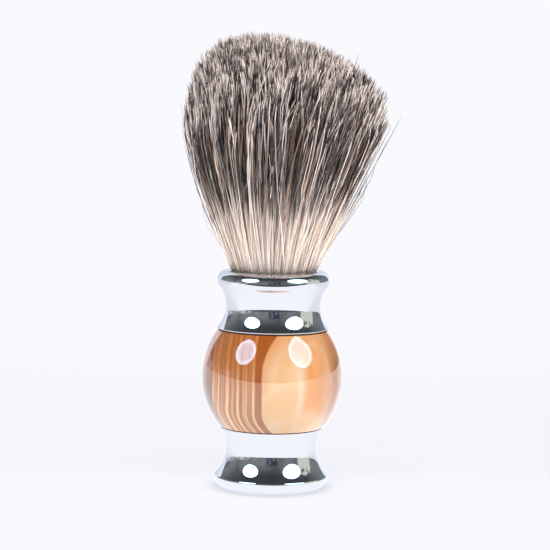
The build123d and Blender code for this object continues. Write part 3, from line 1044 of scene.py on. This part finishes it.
def hair_mesh(name, hairs, waves, chosen, stations, random):
    """One mesh of closed tapered hairs."""
    points = hair_points(hairs, waves, chosen, stations)
    corners = tapered(points, hairs["thickness"][chosen], stations, random)
    count = len(chosen)
    rings = len(stations) - 1
    body = corners[:, :-1].reshape(count, -1, 3)
    vertices = np.concatenate([body, points[:, -1:]], axis=1).reshape(-1, 3) * MM
    corners_of_hair, sizes = hair_faces(rings)
    start = np.arange(count)[:, None] * (3 * rings + 1)
    loops = (start + corners_of_hair[None]).ravel()
    sizes = np.tile(sizes, count)

    mesh = bpy.data.meshes.new(name)
    mesh.vertices.add(len(vertices))
    mesh.vertices.foreach_set("co", vertices.ravel())
    mesh.loops.add(len(loops))
    mesh.loops.foreach_set("vertex_index", loops)
    mesh.polygons.add(len(sizes))
    mesh.polygons.foreach_set("loop_start", np.concatenate([[0], np.cumsum(sizes)[:-1]]))
    mesh.update(calc_edges=True)
    layer = mesh.uv_layers.new(name="OFBake")
    layer.uv.foreach_set("vector", hair_uvs(hairs, chosen, stations).ravel())
    mesh.shade_smooth()
    return mesh


def hair_material():
    """Badger hair: pale at the root, a dark band, and lighter tips, different in every column."""
    made, nodes, shader = material("badger_hair", Roughness=0.42, Specular_IOR_Level=0.35)
    u, v, _ = nodes.split(nodes.add("ShaderNodeUVMap", uv_map="OFBake").outputs[0])
    column = nodes.math("FLOOR", nodes.times(u, COLUMNS))
    tone_step = nodes.math("FLOOR", nodes.math("DIVIDE", nodes.math("ADD", column, 0.5), TIP_TONES))
    tone = nodes.math("DIVIDE", tone_step, TONES - 1)
    tip_step = nodes.line(tone_step, -TIP_TONES, column)
    tip_tone = nodes.math("DIVIDE", tip_step, TIP_TONES - 1)

    def chance(number):
        """A value from 0 to 1 that belongs to the column."""
        seed = nodes.math("ADD", column, 0.5 + 300 * number)
        return nodes.add("ShaderNodeTexWhiteNoise", {"W": seed}, noise_dimensions="1D").outputs["Value"]

    cool, warm = nodes.ramp(tone, BAND_STOPS, COOL_BAND), nodes.ramp(tone, BAND_STOPS, WARM_BAND)
    band = nodes.tint(cool, warm, chance(1), 0.35, 0.75)
    root = nodes.mix(chance(2), ROOT_COOL, ROOT_WARM)
    root = nodes.tint(root, ROOT_DARK, tone, 0.04, 0.02)
    tip = nodes.ramp(tip_tone, TIP_STOPS, TIP_COLOURS)
    band_start = nodes.line(chance(4), 0.26, 0.28)
    in_band = nodes.step(nodes.math("SUBTRACT", v, band_start), -0.07, 0.14)
    in_tip = nodes.step(nodes.math("SUBTRACT", v, nodes.times(chance(5), 0.2)), 0.76, 0.82)
    drift = nodes.noise(nodes.join(column, nodes.times(v, 7)))
    faded = nodes.tint(band, root, drift, 0.45, 0.85, 0.3)
    colour = nodes.mix(in_band, root, faded)
    nodes.put(shader.inputs["Base Color"], nodes.mix(in_tip, colour, tip))
    return made


def hair_groups(hairs):
    """Each hair piece's name, its hairs, and the points along them."""
    place = hairs["place"]
    hidden = hairs["outness"] < CORE_R
    left = place[:, 0] < 0
    yield "hair_core_left", np.flatnonzero(hidden & left), CORE_STATIONS
    yield "hair_core_right", np.flatnonzero(hidden & ~left), CORE_STATIONS
    turn = (np.arctan2(place[:, 1], place[:, 0]) + math.pi) / math.tau
    sector = np.floor(turn * SIDE_PIECES).astype(int).clip(0, SIDE_PIECES - 1)
    for number in range(SIDE_PIECES):
        yield f"hair_side_{number}", np.flatnonzero(~hidden & (sector == number)), SIDE_STATIONS


def make_hair():
    """The tuft: thousands of hairs in a few pieces, held at the mouth."""
    random = np.random.default_rng(SEED)
    made = hair_material()
    hairs = grow_hairs(random)
    waves = {"hair": swing(random, HAIRS, **HAIR_WAVE), "lock": swing(random, LOCKS, **LOCK_WAVE)}
    for name, chosen, stations in hair_groups(hairs):
        piece = bpy.data.objects.new(name, hair_mesh(name, hairs, waves, chosen, stations, random))
        bpy.context.collection.objects.link(piece)
        piece.data.materials.append(made)
        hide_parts("hair_tuft")
        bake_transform(piece)


make_camera()
make_world()
make_lights()
make_floor()
make_handle()
dress_inside()
make_hair()
bpy.context.scene.view_settings.view_transform = "Standard"
